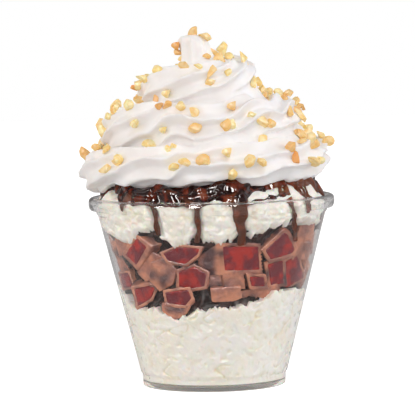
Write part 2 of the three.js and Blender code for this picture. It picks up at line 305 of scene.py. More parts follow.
def new_material(name, **shader):
    """A material, its node tree and its Principled BSDF, on which plain values are set."""
    material = bpy.data.materials.new(name)
    material.use_nodes = True
    bsdf = material.node_tree.nodes["Principled BSDF"]
    set_values(bsdf, shader)
    return material, material.node_tree, bsdf


def add_effect(tree, group, place, **values):
    """Puts a node group in a material, on the coordinates of its place node."""
    effect = tree.nodes.new("ShaderNodeGroup")
    effect.node_tree = group
    set_values(effect, values)
    wire(tree, (place, "Object", effect, "Vector"))
    return effect


def mix_colours(tree, source, output):
    """A mix of two colours, by an output of a node."""
    mix = add_node(tree, "Mix")
    mix.data_type = "RGBA"
    wire(tree, (source, output, mix, "Factor"))
    return mix


def finish(name, tones, roughness, patches, grain, by_tone=None, **shader):
    """A material that runs from the first tone to the second in patches, given as (scale,
    low, high). Grain is (scale, pits, depth in mm). by_tone is a third colour, which the
    mesh's own attribute "tone" brings in. shader holds plain values of the Principled BSDF."""
    material, tree, bsdf = new_material(name, **shader)
    place = add_node(tree, "TexCoord")
    scale, low, high = patches
    mottle = add_effect(tree, mottle_group, place, Scale=scale, Low=low, High=high)
    shown = mix_colours(tree, mottle, "Mask")
    for socket, tone in zip((MIX_A, MIX_B), tones):
        shown.inputs[socket].default_value = linear(*tone)
    if by_tone:
        attribute = add_node(tree, "Attribute")
        attribute.attribute_name = "tone"
        third = mix_colours(tree, attribute, "Fac")
        third.inputs[MIX_B].default_value = linear(*by_tone)
        wire(tree, (shown, MIXED, third, MIX_A))
        shown = third
    gloss = add_node(tree, "MapRange", To_Min=roughness[0], To_Max=roughness[1])
    scale, pits, depth = grain
    rough = add_effect(tree, grain_group, place, Scale=scale, Pits=pits)
    bump = add_node(tree, "Bump", Distance=depth * MM)
    wire(
        tree,
        (shown, MIXED, bsdf, "Base Color"),
        (mottle, "Mask", gloss, "Value"), (gloss, "Result", bsdf, "Roughness"),
        (rough, "Height", bump, "Height"), (bump, "Normal", bsdf, "Normal"),
    )
    return material


def dress(piece, material, nodes=(), smooth=True):
    """Gives a finished piece its material, hangs it under the frame's root, and hides the CAD parts
    that it stands for.
    """
    piece.data.materials.clear()
    piece.data.materials.append(material)
    if smooth:
        pick(piece)
        bpy.ops.object.shade_smooth()
    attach(piece, "root")
    if nodes:
        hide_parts(*nodes)
    print(piece.name, "has", triangles(piece), "triangles")


print("whipped cream white, linear:", [round(v, 2) for v in linear(250, 248, 245)])

# %% Mix the food's finishes
# The third colour, darker and yellower, is painted shade in the ice cream's creases.
vanilla = finish(
    "vanilla ice cream", [(255, 251, 241), (250, 244, 230)], (0.42, 0.6), (140, 0.42, 0.66),
    (700, 0.25, 0.35), by_tone=(232, 216, 160), Subsurface_Weight=0.35, Subsurface_Scale=0.0015,
    Specular_IOR_Level=0.3,
)
cream_white = finish(
    "whipped cream", [(250, 248, 247), (243, 239, 237)], (0.38, 0.5), (60, 0.4, 0.65),
    (900, 0.1, 0.06), Subsurface_Weight=0.25, Subsurface_Scale=0.002,
    Subsurface_Radius=(1, 0.7, 0.55), Specular_IOR_Level=0.15,
)
belt_chocolate = finish(
    "dark chocolate", [(34, 19, 16), (62, 34, 27)], (0.2, 0.45), (170, 0.45, 0.7),
    (500, 0.3, 0.25), Specular_IOR_Level=0.25,
)
# The third colour is partly random darkness per piece and in patches, and partly painted shade on
# each piece's sides that lie deep behind its cut face.
shell_chocolate = finish(
    "milk chocolate", [(206, 136, 104), (156, 96, 78)], (0.3, 0.5), (170, 0.38, 0.62),
    (900, 0.35, 0.12), by_tone=(74, 38, 38), Coat_Weight=0.1, Coat_Roughness=0.3,
)
jelly_red = finish(
    "dark red jelly", [(180, 42, 32), (112, 28, 38)], (0.1, 0.25), (190, 0.36, 0.56),
    (350, 0.2, 0.12), Coat_Weight=0.1, Coat_Roughness=0.06, Subsurface_Weight=0.2,
    Subsurface_Scale=0.001, Specular_IOR_Level=0.35,
)
sauce_brown = finish(
    "chocolate sauce", [(36, 9, 5), (116, 42, 18)], (0.03, 0.08), (280, 0.46, 0.68),
    (260, 0.0, 0.02), by_tone=(150, 84, 48), IOR=1.4,
)
peanut_gold = finish(
    "chopped peanut", [(255, 240, 184), (250, 218, 136)], (0.4, 0.6), (420, 0.4, 0.62),
    (1400, 0.3, 0.1), by_tone=(234, 152, 58), Subsurface_Weight=0.15, Subsurface_Scale=0.0008,
)
print("finishes:", len(bpy.data.materials))

# %% [markdown]
# ## The cup
#
# A thin sheet is formed into a cone on a foot ring, and its edge is rolled outwards into a rim.
# It is one profile spun round the axis, with the sheet's two faces drawn, because clear plastic
# only bends light rightly when it has a real thickness. Light on its way to the filling, from
# a lamp or from all round, passes straight through it: bent light would lie in bright blotches
# on the ice cream, and the filling would be in the cup's shadow.

# %% Spin the cup
FLOOR_TOP = 2.6
CURL_R, CURL_Z, CURL_INNER, CURL_OUTER = 44.4, 69.2, 1.0, 1.6  # the rolled edge
CUP_STEPS = 160
CRISP_ANGLE = 38  # edges that turn more than this stay sharp
outside = [(0, 2.0), (24.2, 2.0), (24.8, 1.7), (25.15, 0.3), (25.5, 0.0), (26.2, 0.0)]
outside += [(26.6, 0.3), (26.75, 1.2), (26.88, 3.9), (27.0, 4.5), (27.5, 5.1)]
outside += [(27.63, 5.5), (42.4, 63.4), (42.55, 63.9), (42.95, 64.5), (43.25, 65.0), (43.36, 66.5)]
rim = arc(CURL_R, CURL_Z, CURL_INNER, 180, 0, 12)
rim += [(45.3, 67.9), (44.95, 67.0), (44.65, 66.6), (44.55, 66.3), (44.8, 66.05), (45.35, 66.2)]
rim += [(45.8, 66.9), (46, 67.9)]
rim += arc(CURL_R, CURL_Z, CURL_OUTER, 0, 180, 18)
inside = [(42.76, 66.5), (42.65, 65.0), (42.3, 64.5), (41.95, 64.0), (41.83, 63.4), (27.05, 5.5)]
inside += [(26.85, 4.9), (26.3, 4.3), (26.15, 3.3), (25.8, 2.75)]
inside += [(25.2, FLOOR_TOP), (0, FLOOR_TOP)]
cup = lathe("clear_cup", outside + rim + inside, CUP_STEPS)
pick(cup)
bpy.ops.object.shade_smooth_by_angle(angle=math.radians(CRISP_ANGLE))
print("cup height", round(cup.dimensions.z / MM, 1), "mm, rim", round(cup.dimensions.x / MM, 1))

# %% Clear plastic
clear, tree, plastic = new_material(
    "clear plastic", Base_Color=(1, 1, 1, 1), Roughness=0.03, IOR=1.34, Transmission_Weight=1.0
)
place = add_node(tree, "TexCoord")
ripple = add_effect(tree, mottle_group, place, Scale=45, Low=0.2, High=0.8)
bump = add_node(tree, "Bump", Distance=0.06 * MM)
ray = add_node(tree, "LightPath")
straight = add_node(tree, "Math")
straight.operation = "MAXIMUM"
passing = add_node(tree, "BsdfTransparent", Color=(0.98, 0.98, 0.98, 1))
either = add_node(tree, "MixShader")
wire(
    tree,
    (ripple, "Mask", bump, "Height"), (bump, "Normal", plastic, "Normal"),
    (ray, "Is Shadow Ray", straight, 0), (ray, "Is Diffuse Ray", straight, 1),
    (straight, "Value", either, "Fac"), (plastic, "BSDF", either, 1),
    (passing, "BSDF", either, 2), (either, "Shader", tree.nodes["Material Output"], "Surface"),
)
dress(cup, clear, ["cup"], smooth=False)

# %% [markdown]
# ## Ice cream against the wall
#
# Ice cream that is pressed into a cup lies flat on the plastic in most places, with creases and
# small pits where air was caught. Each layer starts as a plain drum with many rows, spun like
# the cup. Then every vertex is moved as a sculptor would: out to the wall, in where noise says
# that there is a pit, and up or down to the ragged edge that the photograph shows. The layers
# reach a quarter of a millimetre into the sheet, because a film of air there would show.

# %% The wall, and a drum to shape
CONE_FOOT, CONE_TOP = (5.5, 27.05), (63.4, 41.83)  # the ends of the wall's straight part
WALL = [(2.6, 25.9), (4.3, 26.3), CONE_FOOT, CONE_TOP, (64.5, 42.3), (66.5, 42.76), (80, 42.8)]
INTO_WALL = 0.25
MID_RADIUS = 40  # noise that is the same at every radius is read here
DRUM = 50.0  # size of the drum before it is shaped
BOTTOM, SIDE = 0.001, 0.999  # a rise under the one is its bottom, a share over the other its side


def between(pairs, x):
    """Straight-line interpolation through (x, y) pairs in rising x."""
    x0, y0 = pairs[0]
    for x1, y1 in pairs:
        if x1 >= x:
            return y1 if x1 == x0 else y0 + (y1 - y0) * max(x - x0, 0) / (x1 - x0)
        x0, y0 = x1, y1
    return y0


def wall(z):
    return between(WALL, z)


def clamp(value, low=0.0, high=1.0):
    return max(low, min(high, value))


def hump(offset, width):
    """1 at no offset, falling smoothly to nothing at about twice the width."""
    return math.exp(-((offset / width) ** 2))


def drum(name, rows, rings, steps):
    """A closed drum with that many rows on its side and rings on its top."""
    rows, rings, steps = (round(n * FINENESS) for n in (rows, rings, steps))
    profile = [(0, 0), (0.3 * DRUM, 0), (0.6 * DRUM, 0), (0.85 * DRUM, 0)]
    profile += [(DRUM, DRUM * i / rows) for i in range(rows + 1)]
    profile += [(DRUM * (1 - (i / rings) ** 1.3), DRUM) for i in range(1, rings + 1)]
    return lathe(name, profile, steps)


def uneven(point, size, seed=0.0):
    """Smooth noise from about -0.5 to 0.5, whose lumps are about size across."""
    return noise.noise(point / size + Vector((seed, 2.3 * seed, 5.7 * seed)))


print("wall radius at the middle:", round(wall(35), 2))

# %% The edges that the photograph shows, in (azimuth, height)
BASE_EDGE = (
    (-180, 33.5), (-125, 34.5), (-82, 38), (-70, 34.2), (-62.7, 30.4), (-43.8, 30.8),
    (-35.9, 29.9), (-23.4, 27.2), (-16.3, 28.8), (-8.4, 30.7), (13.5, 31.1), (26.5, 33),
    (35.7, 33.7), (40.4, 36.5), (62.6, 36.5), (95, 33), (140, 34.5), (180, 33.5),
)
UPPER_EDGE = (
    (-180, 57), (-130, 58.5), (-79.8, 58.2), (-61.3, 56), (-51.5, 54.2), (-45.9, 57.3),
    (-39.9, 59.7), (-33.2, 60.6), (-30, 59.6), (-28, 55.9), (-23.9, 54.8), (-20, 54.5),
    (-11.7, 54.9), (-8.5, 57.5), (-5.5, 56.4), (1.4, 55.2), (7, 55.2), (12.5, 56.5),
    (17.2, 58.5), (22, 57.4), (28.1, 58.9), (36.8, 61.1), (51.1, 62), (60, 61.2),
    (95, 57.5), (140, 59), (180, 57),
)


@lru_cache(maxsize=None)
def edge_and_crumbs(edge, azimuth, seed):
    """The height of an edge, and the crumbs along it."""
    on_edge = around(azimuth, MID_RADIUS, 0)
    crumbs = 1.5 * uneven(on_edge, 2.2, seed) + 0.9 * uneven(on_edge, 0.9, seed + 1)
    return between(edge, azimuth), crumbs


def crevice(point, seed):
    """How deep the surface lies behind the wall: 0 in contact, 1 in the deepest crease."""
    slanted = Vector((point.x, point.y, 1.9 * point.z - 0.5 * point.x))
    crease = clamp(1 - abs(uneven(slanted, 9, seed)) / 0.05)
    where = clamp(3.5 * uneven(point, 11, seed + 4) - 0.15)
    pits = clamp(3 * uneven(point, 1.7, seed + 7) - 0.7)
    return clamp(crease * where + 0.5 * pits)


at_front = [round(between(edge, 0), 1) for edge in (BASE_EDGE, UPPER_EDGE)]
print("edge heights at the front:", at_front)

# %% The lower ice cream
BASE_CENTRE = 35.0  # the height of its top at the axis
BASE_CREASE = 0.6  # how deep its creases are
# Painted shade: the creases take a darker, yellower third colour.
CREASE_SHADE = 0.5  # how far they take the third colour


def lower_ice_rule(azimuth, radius, z):
    share, rise = radius / DRUM, z / DRUM
    edge, crumbs = edge_and_crumbs(BASE_EDGE, round(azimuth, 2), 1)
    low = FLOOR_TOP - 0.2
    if rise < BOTTOM:
        return azimuth, share * (wall(low) + INTO_WALL), low, 0
    if share < SIDE:
        high = edge + crumbs
        return azimuth, share * wall(high), BASE_CENTRE + (high - BASE_CENTRE) * share**2, 0
    z = low + rise * (edge - low) + crumbs * rise**8
    deep = crevice(around(azimuth, wall(z), z), 2)
    soft = 0.3 * clamp(2 * uneven(around(azimuth, MID_RADIUS, z), 3.5, 9) + 0.2)
    press = clamp((z - low) / 3)
    back = press * (BASE_CREASE * deep + soft)
    # The tone here is painted shade in the creases.
    return azimuth, wall(z) + INTO_WALL - back, z, CREASE_SHADE * deep * press


ice_lower = drum("vanilla_lower", 72, 12, 540)
reshape(ice_lower, lower_ice_rule)
dress(ice_lower, vanilla, ["ice_cream_lower"])

# %% [markdown]
# The upper fill was scooped in, so it stands in lobes with rough lower edges, and rises in
# mounds just inside the rim. Sauce has run down in the grooves between the lobes: each run is
# read off the photograph as a line of (x, y, width) in pixels, and round the back they follow
# at even steps.

# %% Runs of sauce down the wall
SCALE = 2.668  # pixels to a millimetre at the axis
RUN_TOP = 70
BACK_START = 82  # the azimuth from which pieces out of the photograph's sight are set


def on_wall(x, y, inset=0.0):
    """The point of the wall's inner face that a pixel shows, or one inset from it."""
    point = on_drum(x, y, MID_RADIUS)
    for _ in range(6):
        point = on_drum(x, y, wall(point.z) - inset)
    return point


SEEN_RUNS = [
    [(150, 206, 6), (155, 212, 6), (156, 219, 5), (157, 227, 5), (158, 235, 7)],
    [(197, 206, 6), (197, 216, 5), (199, 226, 5), (198, 236, 6), (197, 244, 7)],
    [(241, 205, 17), (241, 213, 15), (240, 221, 13), (242, 229, 10), (243, 236, 8), (243, 245, 10)],
    [(292, 207, 6), (295, 215, 5), (293, 223, 5), (296, 231, 5), (295, 240, 7)],
    [(122, 205, 5), (124, 209, 4), (124, 213, 3)],
    [(308, 205, 5), (308, 209, 4), (307, 213, 3)],
]


def as_wall_line(pixels):
    """A run as (azimuth, height, width) down the wall."""
    line = []
    for x, y, width in pixels:
        point = on_wall(x, y, 0.5)
        line.append((azimuth_of(point), point.z, width / SCALE))
    return line


def wrapped(azimuth):
    """The same azimuth between -180 and 180."""
    return (azimuth + 180) % 360 - 180


RUNS = [as_wall_line(run) for run in SEEN_RUNS]
chance = random.Random(11)
for step in range(6):
    azimuth = BACK_START + 34 * step + chance.uniform(-5, 5)
    width = chance.uniform(2, 4.6)
    depth = chance.uniform(4, 13)
    line = []
    for k in range(4):
        side = azimuth + chance.uniform(-0.8, 0.8)
        line.append((wrapped(side), RUN_TOP - depth * k / 4, width * (1.1 - 0.12 * k)))
    RUNS.append(line + [(wrapped(azimuth), RUN_TOP - depth, width)])
print("runs of sauce:", len(RUNS))


GROOVE_DEPTH = 1.7
NEAR_RUN = 9  # degrees beyond which a run leaves no groove


def groove(azimuth, z):
    """How far the ice cream lies back behind a run of sauce."""
    back = 0
    for run in RUNS:
        if abs(wrapped(azimuth - run[0][0])) > NEAR_RUN:
            continue
        upwards = run[::-1]
        if z < upwards[0][1] - 0.5:
            continue
        line = between([(h, a) for a, h, _ in upwards], z)
        width = between([(h, w) for _, h, w in upwards], z)
        apart = math.radians(abs(wrapped(azimuth - line))) * 41
        back = max(back, GROOVE_DEPTH * clamp(1.6 - apart / (0.5 * width + 0.5)))
    return back


# %% The upper ice cream
SHOULDER = 69.6  # where its side turns over into its top
CROWN, UNDERSIDE = 74.2, 57  # the heights of its two faces at the axis
UPPER_CREASE = 0.8
TURN_IN = 67.5  # the height from which its side leaves the wall
MOUNDS = [  # azimuth, radius, height and width
    (-69, 38.5, 1.2, 5), (3, 41, 0.3, 2.4), (27, 38.5, 2.6, 7), (46, 38, 2.4, 5),
    (66, 36.5, 3.2, 6), (100, 38, 2, 7), (150, 38, 1.8, 7), (-110, 38, 2, 7), (-160, 38, 1.6, 8),
]


def ice_top(azimuth, radius):
    """Height of the ice cream's top, mounds and lumps included."""
    share = clamp(radius / wall(SHOULDER))
    z = CROWN - (CROWN - SHOULDER) * share**9
    here = around(azimuth, radius, 0)
    for a, r, high, wide in MOUNDS:
        z += high * hump((here - around(a, r, 0)).length, wide)
    rough = clamp((1.02 - share) * 12)
    return z + rough * (1.6 * uneven(here, 7, 3) + 0.9 * uneven(here, 2.1, 5))


def upper_ice_rule(azimuth, radius, z):
    share, rise = radius / DRUM, z / DRUM
    edge, crumbs = edge_and_crumbs(UPPER_EDGE, round(azimuth, 2), 6)
    if rise < BOTTOM and share < SIDE:
        z = UNDERSIDE + (edge + crumbs + 0.6 - UNDERSIDE) * share**2
        return azimuth, share * (wall(edge) - 2.4), z, 0
    if share < SIDE:
        radius = share * (wall(SHOULDER) - 0.5)
        return azimuth, radius, ice_top(azimuth, radius), 0
    top = SHOULDER + 0.3
    z = edge + rise * (top - edge) + crumbs * (1 - rise) ** 6
    point = around(azimuth, wall(z), z)
    deep = crevice(point, 12)
    lumps = 1.3 * clamp(2.2 * uneven(point, 3.2, 14) + 0.2) + clamp(2 * uneven(point, 1.3, 15))
    under = 2.2 * clamp(1 - (z - edge - crumbs) / 2.2) ** 2
    back = UPPER_CREASE * deep + 0.6 * lumps + under + groove(azimuth, z)
    over = 1.2 * clamp((z - TURN_IN) / 2.4) ** 2
    # The tone here is painted shade in the creases.
    return azimuth, wall(z) + INTO_WALL - back - over, z, CREASE_SHADE * deep


ice_upper = drum("vanilla_upper", 34, 44, 600)
reshape(ice_upper, upper_ice_rule)
dress(ice_upper, vanilla, ["ice_cream_upper"])

# %% [markdown]
# ## The dark belt
#
# Between the two fills the bars lie in dark, wet chocolate. It shows only in the gaps, where it
# lies a little behind the wall with a few smears on it, so a shaped drum is enough. It comes
# nearer the wall at both edges of the photograph's view, and leaves bar 6 free at the right.


# %% The belt of dark chocolate
def belt_rule(azimuth, radius, z):
    share, rise = radius / DRUM, z / DRUM
    low = between(BASE_EDGE, azimuth) - 1.2
    high = between(UPPER_EDGE, azimuth) + 2.0
    if rise < BOTTOM and share < SIDE:
        return azimuth, share * (wall(low) - 2), low + (1 - share**2), 0
    if share < SIDE:
        return azimuth, share * (wall(high) - 2), high + 1 - share**2, 0
    z = low + rise * (high - low)
    point = around(azimuth, wall(z), z)
    middle = clamp(6 * rise) * clamp(6 * (1 - rise))
    back = 2.2 + 2.6 * middle - 1.8 * uneven(point, 5, 21) - 0.8 * uneven(point, 1.8, 22)
    back *= 1 - 0.45 * hump(abs(azimuth) - 86, 10)
    back += 2.4 * hump(azimuth - 58, 8)
    return azimuth, wall(z) + 0.2 - max(back, 0), z, 0


belt = drum("belt_chocolate", 40, 6, 420)
reshape(belt, belt_rule)
dress(belt, belt_chocolate, ["chocolate_belt"])

# %% [markdown]
# ## Chopped jelly bars
#
# Each piece is a bar of red jelly in a milk chocolate shell, broken so that some pieces show
# their cut face and others their moulded side. By hand: a filled circle with as many corners as
# the cut face is pulled to those corners, inset and pressed in where the jelly sits, and its
# edge is extruded back into the cup. A voxel remesh then rounds the edges as soft chocolate is,
# and noise chips them. Pieces at the front take their corners from the photograph; the rest
# are blocks.

# %% Laying a cut face against the wall
def wall_normal(azimuth):
    slope = (CONE_TOP[1] - CONE_FOOT[1]) / (CONE_TOP[0] - CONE_FOOT[0])
    return around(azimuth, 1, -slope).normalized()


CLEARANCE = 0.12  # between a piece and the wall


def pressed_flat(corners_at, seat, facing, behind):
    """Moves a flat face in until its farthest corner is just inside the wall."""
    for _ in range(12):
        corners = corners_at(seat)
        past = max(math.hypot(p.x, p.y) - wall(p.z) for p in corners) + behind + CLEARANCE
        if past <= 0.01:
            break
        seat = seat - facing * past
    return corners


def seen_face(pixels, turn, behind):
    """A cut face whose corners lie behind these pixels, and that far behind the wall."""
    x, y = (sum(p[i] for p in pixels) / len(pixels) for i in (0, 1))
    seat = on_wall(x, y, 0.2)
    facing = wall_normal(azimuth_of(seat) + turn)
    lines = [sight(*p) for p in pixels]

    def corners_at(seat):
        return [EYE + d * ((seat - EYE).dot(facing) / d.dot(facing)) for d in lines]

    return pressed_flat(corners_at, seat, facing, behind), facing


CUT_FACE = [(-0.5, -0.5), (0.5, -0.46), (0.44, 0.5), (-0.42, 0.5)]  # in shares of its size


def placed_face(azimuth, z, across, high, spin, turn, behind):
    """A four-cornered face of a given size at a place on the wall."""
    facing = wall_normal(azimuth + turn)
    side = Vector((0, 0, 1)).cross(facing).normalized()
    rise = facing.cross(side)
    cos, sin = math.cos(math.radians(spin)), math.sin(math.radians(spin))
    flat = [(u * across, v * high) for u, v in CUT_FACE]

    def corners_at(seat):
        return [seat + side * (u * cos - v * sin) + rise * (u * sin + v * cos) for u, v in flat]

    return pressed_flat(corners_at, around(azimuth, wall(z), z), facing, behind), facing


print("a wall normal at the front:", wall_normal(0))


# %% Making one piece of bar
JELLY_DEPTH, JELLY_PROUD, JELLY_SPREAD = 1.5, 0.1, 1.06


def bar_piece(number, corners, facing, back, back_share, frame_width):
    """Shell and jelly of one piece. back is where its far end lies, seen from its cut face.
    A frame_width of 0 means that the piece shows its moulded side, without jelly."""
    middle = sum(corners, Vector()) / len(corners)
    bpy.ops.object.select_all(action="DESELECT")
    bpy.ops.mesh.primitive_circle_add(vertices=len(corners), radius=5 * MM, fill_type="NGON")
    shell = bpy.context.object
    shell.name = f"bar_shell_{number:02d}"
    for vertex, corner in zip(shell.data.vertices, corners):
        vertex.co = corner * MM
    with editing(shell):
        if frame_width:
            bpy.ops.mesh.inset(thickness=frame_width * MM)
            extrude(-facing * JELLY_DEPTH)
            bpy.ops.mesh.duplicate()
            bpy.ops.mesh.separate(type="SELECTED")
        bpy.ops.mesh.select_all(action="DESELECT")
        bpy.ops.mesh.select_non_manifold()
        extrude(back)
        bpy.ops.transform.resize(value=(back_share,) * 3, center_override=(middle + back) * MM)
        bpy.ops.mesh.edge_face_add()
        face_outwards()
    if not frame_width:
        return shell, None
    (jelly,) = [o for o in bpy.context.selected_objects if o is not shell]
    jelly.name = f"bar_jelly_{number:02d}"
    pit = (middle - facing * JELLY_DEPTH) * MM
    with editing(jelly):
        bpy.ops.transform.resize(value=(JELLY_SPREAD,) * 3, center_override=pit)
        extrude(facing * (JELLY_DEPTH + JELLY_PROUD))
        face_outwards()
    return shell, jelly


print("jelly lies", JELLY_DEPTH, "mm deep in its shell")


# %% Melting, relaxing and roughening
def melt(piece, voxel):
    """Closes a piece into one skin, whose edges are as round as a voxel in mm."""
    modify(piece, "REMESH", mode="VOXEL", voxel_size=voxel * MM)


def relax(piece, times):
    modify(piece, "SMOOTH", factor=0.5, iterations=times)


def roughen(piece, texture, strength):
    """Moves a surface in and out by a cloud texture, by so many millimetres."""
    modify(
        piece, "DISPLACE", texture=texture, strength=strength * MM, mid_level=0.5,
        texture_coords="LOCAL",
    )


BAR_VOXEL = 0.36
lumpy = bpy.data.textures.new("lumps", "CLOUDS")
lumpy.noise_scale = 3.2 * MM
fine_lumps = bpy.data.textures.new("fine lumps", "CLOUDS")
fine_lumps.noise_scale = 0.9 * MM


def soften(piece, lumps):
    """Rounds a blocky piece as if it had melted a little, and makes it uneven."""
    melt(piece, BAR_VOXEL)
    relax(piece, 2)
    roughen(piece, lumpy, lumps)
    roughen(piece, fine_lumps, 0.45 * lumps)


print("textures:", [texture.name for texture in bpy.data.textures])


# %% The pieces at the front, by the pixels of their cut faces
# Each has its corners, how far its far end shows beside them in pixels, that end's size as a
# share, its turn from the wall in degrees, its length into the cup, how far it lies behind the
# wall, and the width of the chocolate frame round its jelly (all in mm).
SEEN_BARS = {
    1: ([(121, 254), (135, 232), (152, 246), (138, 271)], (14, -4), 0.95, 2, 6, 0, 1.9),
    2: (
        [(159, 252), (178, 244), (204, 246), (199, 257), (186, 267), (167, 263)],
        (-3, 9), 0.9, 0, 7, 0, 1.2,
    ),
    3: ([(218, 242), (262, 242), (264, 274), (221, 275)], (-26, 10), 0.6, 5, 6, 0.2, 1.9),
    4: (
        [(261, 250), (284, 228), (290, 231), (298, 248), (294, 256), (269, 264)],
        (3, -4), 0.9, -4, 8, 0, 1.7,
    ),
    7: ([(131, 286), (150, 282), (159, 287), (153, 301), (137, 311)], (-8, -3), 0.9, 12, 7, 0, 1.4),
    8: ([(162, 289), (190, 286), (195, 299), (187, 309), (165, 306)], (-2, 12), 0.7, 0, 6, 0, 1.4),
    9: (
        [(240, 291), (262, 286), (277, 283), (281, 290), (268, 304), (257, 303), (241, 298)],
        (0, 0), 0.8, -6, 6, 1, 0,
    ),
    10: ([(210, 288), (241, 286), (242, 298), (232, 302), (212, 302)], (0, 0), 0.8, 0, 6, 1, 0),
    11: (
        [(151, 262), (166, 257), (177, 270), (173, 285), (160, 292), (149, 281)],
        (3, -3), 0.8, 6, 7, 0.8, 0,
    ),
    12: (
        [(176, 269), (194, 263), (210, 272), (207, 289), (190, 292), (176, 289)],
        (0, 4), 0.8, -6, 7, 0.8, 1.4,
    ),
    26: ([(246, 273), (266, 274), (269, 290), (249, 289)], (3, 3), 0.9, 0, 6, 0.9, 1.3),
    27: ([(222, 274), (244, 273), (246, 289), (225, 291)], (-2, 3), 0.9, 4, 6, 1.4, 0),
    28: ([(161, 303), (191, 305), (187, 314), (175, 321), (162, 312)], (2, -3), 0.8, 0, 5, 0.2, 0),
    29: (
        [(139, 262), (152, 251), (164, 257), (157, 276), (146, 282), (137, 272)],
        (2, 2), 0.8, 4, 6, 1.6, 0,
    ),
    30: ([(119, 258), (134, 268), (147, 283), (133, 288), (122, 280)], (2, 2), 0.8, 14, 6, 2.4, 0),
    31: ([(264, 262), (285, 256), (287, 286), (268, 289)], (2, 2), 0.9, -4, 6, 1.0, 1.5),
    32: ([(203, 256), (222, 260), (223, 287), (206, 286)], (2, 2), 0.9, 0, 6, 3.2, 0),
}
pieces_of_bar, cut_faces = {}, {}
for number, (pixels, beside, back_share, turn, long, behind, frame_width) in SEEN_BARS.items():
    corners, facing = seen_face(pixels, turn, behind)
    shown = (beside[0] * view_right - beside[1] * view_up) / SCALE
    back = shown - facing * (long + shown.dot(facing))
    pieces_of_bar[number] = bar_piece(number, corners, facing, back, back_share, frame_width)
    cut_faces[number] = (corners[0], facing)
print("pieces at the front:", len(pieces_of_bar))

# %% The pieces at the sides and the back
BAR_STEP = 18.6  # degrees from one piece at the back to the next
BAR_LENGTH, FAR_END = 8, 0.9  # into the cup, and the far end's size as a share
chance = random.Random(5)
# Where each is, how wide and high, its spin and its turn in degrees, and the rest as before.
PLACED_BARS = {
    5: (66, 53.5, 8.6, 15.5, -4, -26, 0.6, 0), 6: (61, 41.5, 12, 12.5, 24, -24, 0, 1.2),
    13: (-63, 53, 8, 7, 12, 20, 1.4, 0), 14: (-72, 46.5, 9.5, 17, 14, 26, 1.0, 0),
    15: (-89, 43, 12, 12, -20, 8, 0, 1.6), 33: (-68, 40, 7.5, 7.5, 10, 22, 0, 1.0),
    44: (-93, 53, 10, 8.5, 14, 4, 0.4, 1.4),
}
for step in range(10):
    PLACED_BARS[16 + step] = (
        BACK_START + BAR_STEP * step, (50.5, 40.0)[step % 2] + chance.uniform(-1.5, 1.5),
        chance.uniform(12.5, 16.5), chance.uniform(10.5, 13.5), chance.uniform(-34, 34),
        chance.uniform(-12, 12), 0, 0 if step % 3 == 2 else 1.7,
    )
# Smaller ones fill the places that those leave above and below each other.
filling = random.Random(17)
for step in range(10):
    PLACED_BARS[34 + step] = (
        BACK_START + BAR_STEP * step + filling.uniform(-3, 3),
        (39.6, 51.8)[step % 2] + filling.uniform(-1, 1), filling.uniform(8.5, 11.5),
        filling.uniform(7.5, 9.5), filling.uniform(-40, 40), filling.uniform(-8, 8),
        filling.uniform(0.3, 1.1), 0 if step % 3 == 1 else 1.3,
    )
for number, (azimuth, z, across, high, spin, turn, behind, frame_width) in PLACED_BARS.items():
    corners, facing = placed_face(azimuth, z, across, high, spin, turn, behind)
    back = -facing * BAR_LENGTH
    pieces_of_bar[number] = bar_piece(number, corners, facing, back, FAR_END, frame_width)
    cut_faces[number] = (corners[0], facing)
print("pieces in all:", len(pieces_of_bar))

# %% Soften the pieces and give them their finishes
MODELLED_BARS = 25  # the CAD model has these; the others fill the gaps between them
SHELL_LUMPS, JELLY_LUMPS = 0.55, 0.5
for number, (shell, jelly) in sorted(pieces_of_bar.items()):
    soften(shell, SHELL_LUMPS)
    darker = chance.uniform(-0.25, 0.4)
    corner, facing = cut_faces[number]
    tones = []
    for place in (v.co / MM for v in shell.data.vertices):
        # Painted shade: the farther a vertex lies behind the cut face, the darker it is.
        behind = clamp((corner - place).dot(facing) - 0.6)
        tones.append(clamp(darker + 1.2 * uneven(place, 4, number) + 0.5 * behind))
    keep_tones(shell.data, tones)
    stands_for = [f"jelly_bar_{number:02d}"] if number <= MODELLED_BARS else ()
    dress(shell, shell_chocolate, stands_for)
    if jelly:
        soften(jelly, JELLY_LUMPS)
        dress(jelly, jelly_red)

# %% [markdown]
# ## Chocolate sauce
#
# Sauce is one body of liquid: a blanket over the ice cream, thick strands at its edge, and runs
# down the wall. Tubes and a blanket are joined, and a voxel remesh melts them into one skin,
# which smoothing then draws out as surface tension would. A gentle swell keeps its top uneven,
# and where it lies on the wall it is pressed flat.


# %% Where the cream's lower edge runs, by pixels at the front
CREAM_EDGE = [
    (95, 197), (102, 186), (113, 183.5), (126, 189), (139, 190), (151, 187), (173, 190), (190, 189),
    (216, 185), (230, 180), (240, 180), (246, 187), (268, 190), (277, 186), (292, 181), (301, 187),
    (318, 185), (328, 178),
]
CREAM_SEAT_RADIUS = 43.0
seen_edge = [on_drum(x, y, CREAM_SEAT_RADIUS) for x, y in CREAM_EDGE]
cream_line = [(-180, 76), (-135, 75), (-110, 71.4), (-92, 71)]
cream_line += [(azimuth_of(p), p.z) for p in seen_edge]
cream_line += [(110, 75), (140, 76.6), (160, 75), (180, 76)]


def cream_low(azimuth):
    return between(cream_line, azimuth)


print("the cream's edge at the front is at", round(cream_low(0), 1), "mm")


# %% The blanket over the ice cream
SAUCE_EDGE = [
    (-180, 40.5), (-140, 41.2), (-100, 40.2), (-82, 40.2), (-73, 38), (-60, 38), (-54, 41.8),
    (-30, 42.6), (-5, 42.6), (0, 41.4), (5, 41.4), (9, 42.4), (18, 41.6), (24, 37.8), (50, 37.4),
    (58, 39), (68, 39.4), (80, 40.6), (100, 39.5), (140, 41.4), (180, 40.5),
]


